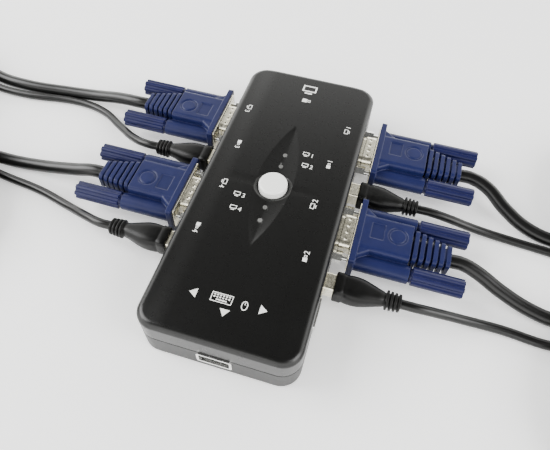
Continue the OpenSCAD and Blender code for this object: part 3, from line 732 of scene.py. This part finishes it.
def ring_mesh(name, rings, closed_ends=False):
    """A skin over equal rings of points; the first and last may be capped."""
    mesh = bpy.data.meshes.new(name)
    work = bmesh.new()
    loops = [[work.verts.new(p) for p in ring] for ring in rings]
    for a, b in zip(loops, loops[1:]):
        for i in range(len(a)):
            j = (i + 1) % len(a)
            work.faces.new((a[i], a[j], b[j], b[i]))
    if closed_ends:
        work.faces.new(loops[0][::-1])
        work.faces.new(loops[-1])
    bmesh.ops.recalc_face_normals(work, faces=work.faces)
    work.to_mesh(mesh)
    work.free()
    shade_smooth(mesh)
    return mesh


def superellipse(half_w, half_h, power, count=56):
    """A rounded rectangle as (y, z) points; a higher power is squarer."""
    points = []
    for i in range(count * 4):
        c, s = math.cos(math.tau * i / (count * 4)), math.sin(math.tau * i / (count * 4))
        y = math.copysign(half_w * abs(c) ** (2 / power), c)
        z = math.copysign(half_h * abs(s) ** (2 / power), s)
        points.append((y, z))
    return resampled(points, count)


def ridge_sections(start, pitch, count, long, wide, high, core, taper):
    """Sections of a strain relief: ridges of falling size on a round core, all in millimetres."""
    steps = [(0, 0), (0.06, 0.75), (0.22, 1), (0.78, 1), (0.94, 0.75), (1, 0)]
    sections = []
    for i in range(count):
        for part, up in steps:
            y = core + up * (wide - i * taper - core)
            z = core + up * (high - i * taper - core)
            sections.append((start + i * pitch + part * long, y, z, 2.6))
    return sections


def grip_mesh(name, sections, end, core):
    """A moulded grip through its sections (distance, half width, half height, power), in millimetres."""
    sections = sections + [(end - 0.3, core, core, 2.2), (end, core - 0.3, core - 0.3, 2.2)]
    rings = []
    for x, half_w, half_h, power in sections:
        rings.append([(x * MM, y * MM, z * MM) for y, z in superellipse(half_w, half_h, power)])
    return ring_mesh(name, rings, True)


SHELL_W, SHELL_H, SHELL_L, SHEET = 0.0179, 0.0094, 0.0058, 0.0004
SHELL_CORNER, SHELL_LEAN, CORNER_POINTS = 0.0026, 0.0008, 9
FLANGE_W, FLANGE_H, FLANGE_CORNER = 0.0312, 0.0118, 0.0016
SHELL_POINTS, SHELL_RINGS = 160, 28
MOUTH_EDGE = 0.0002
DIMPLES = [-0.0054, -0.0018, 0.0018, 0.0054]
DIMPLE_X, DIMPLE_R, DIMPLE_DEPTH = -0.0034, 0.00085, 0.00032


def male_shell_mesh():
    """Drawn shell of a monitor plug, from its mouth back to the flange and over it, dimpled on two sides."""
    inner_size = (SHELL_W - 2 * SHEET, SHELL_H - 2 * SHEET, SHELL_CORNER - SHEET)
    outer = resampled(d_outline(SHELL_W, SHELL_H, SHELL_CORNER, SHELL_LEAN, CORNER_POINTS), SHELL_POINTS)
    inner = resampled(d_outline(*inner_size, SHELL_LEAN, CORNER_POINTS), SHELL_POINTS)
    flange = resampled(d_outline(FLANGE_W, FLANGE_H, FLANGE_CORNER, 0, CORNER_POINTS), SHELL_POINTS)
    rings = [[(-0.0006, y, z) for y, z in inner], [(MOUTH_EDGE - SHELL_L, y, z) for y, z in inner]]
    lip = [((a[0] + b[0]) / 2, (a[1] + b[1]) / 2) for a, b in zip(inner, outer)]
    rings.append([(-SHELL_L, y, z) for y, z in lip])
    for n in range(SHELL_RINGS + 1):
        x = MOUTH_EDGE - SHELL_L + n * (SHELL_L - 0.0012) / SHELL_RINGS
        ring = []
        for y, z in outer:
            dent = 0
            if abs(z) > SHELL_H / 2 - SHEET:
                near = min(math.hypot(y - d, x - DIMPLE_X) for d in DIMPLES)
                dent = DIMPLE_DEPTH * (1 - smooth_step(near / DIMPLE_R))
            ring.append((x, y, z - math.copysign(dent, z)))
        rings.append(ring)
    swell = [(y * 1.03, z * 1.05) for y, z in outer]
    rings.append([(-0.0006, y, z) for y, z in swell])
    rings.append([(-0.0005, y, z) for y, z in flange])
    rings.append([(-0.00002, y, z) for y, z in flange])
    return ring_mesh("male_shell", rings)


def add_box(work, lo, hi):
    made = bmesh.ops.create_cube(work, size=1)["verts"]
    size = Vector(hi) - Vector(lo)
    middle = (Vector(hi) + Vector(lo)) / 2
    for vert in made:
        vert.co = Vector(vert.co[i] * size[i] + middle[i] for i in range(3))


PIN_PITCH, PIN_ROW, PIN_STAGGER = 0.00229, 0.00198, 0.0011
PIN_R, PIN_NOSE_R, PIN_L, PIN_X = 0.0004, 0.0002, 0.0044, -0.0025


def pins_mesh():
    """Fifteen round-nosed contacts in three staggered rows."""
    mesh = bpy.data.meshes.new("contacts")
    work = bmesh.new()
    for row in (-1, 0, 1):
        for n in range(-2, 3):
            y = n * PIN_PITCH + (PIN_STAGGER if row == 0 else 0)
            made = bmesh.ops.create_cone(work, cap_ends=True, segments=12, radius1=PIN_R,
                                         radius2=PIN_NOSE_R, depth=PIN_L)
            place = Matrix.Translation((PIN_X, y, row * PIN_ROW))
            turn = place @ Matrix.Rotation(-math.pi / 2, 4, "Y")
            bmesh.ops.transform(work, matrix=turn, verts=made["verts"])
    work.to_mesh(mesh)
    work.free()
    return mesh


def local_shift(node, side):
    """Moves a plug on the box to the origin, its face at x = 0."""
    lo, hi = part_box(node)
    return Vector((-lo.x if side > 0 else -hi.x, -(lo.y + hi.y) / 2, -(lo.z + hi.z) / 2))


def near_place(node, side):
    """Where a plug on the box lies, with local +X pointing away from the box."""
    lo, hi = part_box(node)
    at = Vector((lo.x if side > 0 else hi.x, (lo.y + hi.y) / 2, (lo.z + hi.z) / 2))
    return Matrix.Translation(at) @ Matrix.Rotation(0 if side > 0 else math.pi, 4, "Z")


# A square USB plug: a block, a shallow groove, a drop-shaped swelling, then the relief
BLOCK_B = [(0, 4.6, 4.1, 5), (0.15, 5.0, 4.5, 6), (0.5, 5.25, 4.75, 7), (3.6, 5.25, 4.75, 7),
           (3.9, 5.1, 4.6, 6), (4.5, 5.1, 4.6, 5), (4.9, 5.35, 4.7, 4.5), (6.5, 5.6, 4.8, 4),
           (8.5, 5.78, 4.8, 3.6), (11, 5.7, 4.65, 3.3), (13.5, 5.2, 4.3, 3), (16, 4.45, 3.9, 2.8),
           (18.5, 3.7, 3.45, 2.6), (20.5, 3.2, 3.15, 2.4), (21.2, 2.8, 2.8, 2.3)]
GRIP_B = grip_mesh("grip_b", BLOCK_B + ridge_sections(21.6, 1.7, 4, 1.15, 4.1, 3.7, 2.8, 0.125), 28, 2.8)
VOXEL = 0.00022
HOOD = softened("hood", "vga_plug_1", local_shift("vga_plug_1", 1), VOXEL, 2, 0.5)
HOOD_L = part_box("vga_plug_1")[1].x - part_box("vga_plug_1")[0].x
SHELL = male_shell_mesh()
PINS = pins_mesh()
SCREW_PITCH = 0.025
# A thumbscrew is bare metal within this radius, up to where its grip begins
ROD_R, GRIP_START = 0.0016, 0.026


def screw_mesh():
    """Thumbscrew of the right-hand far plug, moved onto its own axis at the plug's face."""
    lo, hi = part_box("thumbscrew_1a")
    plug_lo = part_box("vga_plug_1")[0]
    shift = Vector((-plug_lo.x, -(lo.y + hi.y) / 2, -(lo.z + hi.z) / 2))
    piece = new_object("screw", node_mesh("thumbscrew_1a", shift), KNOB_BLUE)
    bevelled(piece, 0.0003, 2, 30)
    applied(piece)
    mesh = piece.data
    bpy.data.objects.remove(piece)
    mesh.materials.append(BRIGHT_NICKEL)
    for face in mesh.polygons:
        corners = [mesh.vertices[v].co for v in face.vertices]
        if max(math.hypot(p.y, p.z) for p in corners) < ROD_R and face.center.x < GRIP_START:
            face.material_index = 1
    return mesh


SCREW = screw_mesh()

for k, (side, spin, centre, vga_at, vga_way, usb_at, usb_way) in enumerate(SETS):
    n = k + 1
    here = near_place(f"vga_plug_{n}", side)
    there = far_place(vga_at, vga_way, FAR_VGA_Z, HOOD_L)
    placed(f"hood_{n}", HOOD, PLUG_BLUE, here, "root", "plug_blue", f"vga_plug_{n}")
    placed(f"shell_{n}", SHELL, NICKEL, here, "root", "nickel", "vga_plug_shells")
    far = [placed(f"far_hood_{n}", HOOD, PLUG_BLUE, there, "root", "plug_blue", "pc_end_vga_plugs"),
           placed(f"far_shell_{n}", SHELL, NICKEL, there, "root", "nickel", "pc_end_vga_shells"),
           placed(f"far_pins_{n}", PINS, GOLD, there, "root", "nickel")]
    for mark, way in (("a", 1), ("b", -1)):
        offset = Matrix.Translation((0, way * side * SCREW_PITCH / 2, 0))
        placed(f"screw_{n}{mark}", SCREW, KNOB_BLUE, here @ offset, f"thumbscrew_{n}{mark}", "plug_blue",
               f"thumbscrew_{n}{mark}")
        offset = Matrix.Translation((0, way * SCREW_PITCH / 2, 0))
        far.append(placed(f"far_screw_{n}{mark}", SCREW, KNOB_BLUE, there @ offset, "root", "plug_blue",
                          "pc_end_thumbscrews"))
    placed(f"grip_{n}", GRIP_B, PLUG_BLACK, near_place(f"usb_plug_{n}", side), "root", "plug_black",
           f"usb_plug_{n}")
    vga, vga_start, usb, usb_start = CORDS[k]

# ---- USB plugs at the computers' end ----

USB_A_REACH = 0.038
USB_A_W, USB_A_H, USB_A_L, USB_A_SHEET = 0.012, 0.0045, 0.012, 0.0003
USB_A_POINTS = 96


def shell_a_mesh():
    """Folded metal shell of a flat USB plug, rounded at its mouth."""
    inner_size = (USB_A_W - 2 * USB_A_SHEET, USB_A_H - 2 * USB_A_SHEET)
    outer = resampled(d_outline(USB_A_W, USB_A_H, 0.0006, 0, 6), USB_A_POINTS)
    inner = resampled(d_outline(*inner_size, 0.0004, 0, 6), USB_A_POINTS)
    places = [(-0.0008, inner), (0.0001 - USB_A_L, inner), (-USB_A_L, inner), (-USB_A_L, outer),
              (0.0001 - USB_A_L, outer), (-0.0001, outer), (0, outer)]
    return ring_mesh("shell_a", [[(x, y, z) for y, z in ring] for x, ring in places])


def tongue_mesh():
    """White tongue of a flat USB plug, with the block that closes the shell behind it."""
    mesh = bpy.data.meshes.new("tongue_a")
    work = bmesh.new()
    add_box(work, (-0.0112, -0.0056, 0.0002), (-0.0004, 0.0056, 0.0018))
    add_box(work, (-0.0012, -0.0056, -0.0018), (-0.0004, 0.0056, 0.0018))
    bmesh.ops.bevel(work, geom=list(work.edges), offset=0.00008, segments=1, affect="EDGES")
    work.to_mesh(mesh)
    work.free()
    return mesh


# A flat USB plug: a rounded block with finger hollows at its sides, then the relief
BLOCK_A = [(0, 6.9, 3.3, 5), (0.2, 7.4, 3.7, 6), (0.7, 7.75, 3.95, 7), (5, 7.7, 3.95, 7),
           (9, 7.2, 3.95, 6), (13, 6.9, 3.95, 6), (17, 7.2, 3.95, 6), (21, 7.7, 3.95, 6),
           (24, 7.5, 3.9, 5), (25.2, 6.8, 3.6, 4), (25.9, 5.4, 3.2, 3.4), (26.3, 2.8, 2.8, 2.6)]
GRIP_A = grip_mesh("grip_a", BLOCK_A + ridge_sections(27.2, 2.1, 5, 1.3, 4.5, 3.6, 2.8, 0.15), 38, 2.8)
SHELL_A = shell_a_mesh()
TONGUE_A = tongue_mesh()
for k, (side, spin, centre, vga_at, vga_way, usb_at, usb_way) in enumerate(SETS):
    n = k + 1
    there = far_place(usb_at, usb_way, FAR_USB_Z, USB_A_REACH)
    far = [placed(f"far_grip_{n}", GRIP_A, PLUG_BLACK, there, "root", "plug_black", "pc_end_usb_plugs"),
           placed(f"far_shell_a_{n}", SHELL_A, BRIGHT_NICKEL, there, "root", "nickel", "pc_end_usb_shells"),
           placed(f"far_tongue_{n}", TONGUE_A, INSULATOR_WHITE, there, "root", "insulator_white")]
    vga, vga_start, usb, usb_start = CORDS[k]

# ---- Floor and lights ----

FLOOR_HALF, FLOOR_DROP, FLOOR_GLOW = 4.0, 0.00005, 0.4
TENT_STRENGTH = 3.6


def make_floor():
    """A plain pale surface just under the feet."""
    mesh = bpy.data.meshes.new("floor")
    corners = [(sx * FLOOR_HALF, sy * FLOOR_HALF, 0) for sx, sy in ((-1, -1), (1, -1), (1, 1), (-1, 1))]
    mesh.from_pydata(corners, [], [(0, 1, 2, 3)])
    material, _, shader = new_material("floor_white")
    shader.inputs["Base Color"].default_value = (0.96, 0.96, 0.96, 1)
    shader.inputs["Roughness"].default_value = 0.9
    shader.inputs["Emission Color"].default_value = (1, 1, 1, 1)
    shader.inputs["Emission Strength"].default_value = FLOOR_GLOW
    floor = new_object("floor", mesh, material)
    floor.location.z = -FLOOR_DROP


def area_light(name, at, aim, size, power):
    data = bpy.data.lights.new(name, "AREA")
    data.shape = "RECTANGLE"
    data.size, data.size_y = size
    data.energy = power
    light = bpy.data.objects.new(name, data)
    SCENE.collection.objects.link(light)
    light.location = at
    light.rotation_euler = (Vector(aim) - Vector(at)).to_track_quat("-Z", "Y").to_euler()


def make_world():
    """A studio tent: bright all round at the sides and dark overhead, where the camera is."""
    world = bpy.data.worlds.new("studio")
    SCENE.world = world
    world.use_nodes = True
    tree = world.node_tree
    back = tree.nodes["Background"]
    where = tree.nodes.new("ShaderNodeTexCoord")
    split = tree.nodes.new("ShaderNodeSeparateXYZ")
    tree.links.new(where.outputs["Generated"], split.inputs["Vector"])
    stops = [(0.0, (1.0, 1.0, 0.98)), (0.50, (1.0, 1.0, 0.98)), (0.62, (0.40, 0.40, 0.39)),
             (0.74, (0.07, 0.07, 0.065)), (1.0, (0.03, 0.03, 0.03))]
    ramp(tree, split.outputs["Z"], back.inputs["Color"], stops)
    back.inputs["Strength"].default_value = TENT_STRENGTH


make_floor()
make_world()
area_light("left_box", (-0.9, -0.1, 0.75), (0, 0, 0), (0.7, 0.7), 16)
area_light("right_box", (0.9, -0.2, 0.7), (0, 0, 0), (0.6, 0.6), 9)
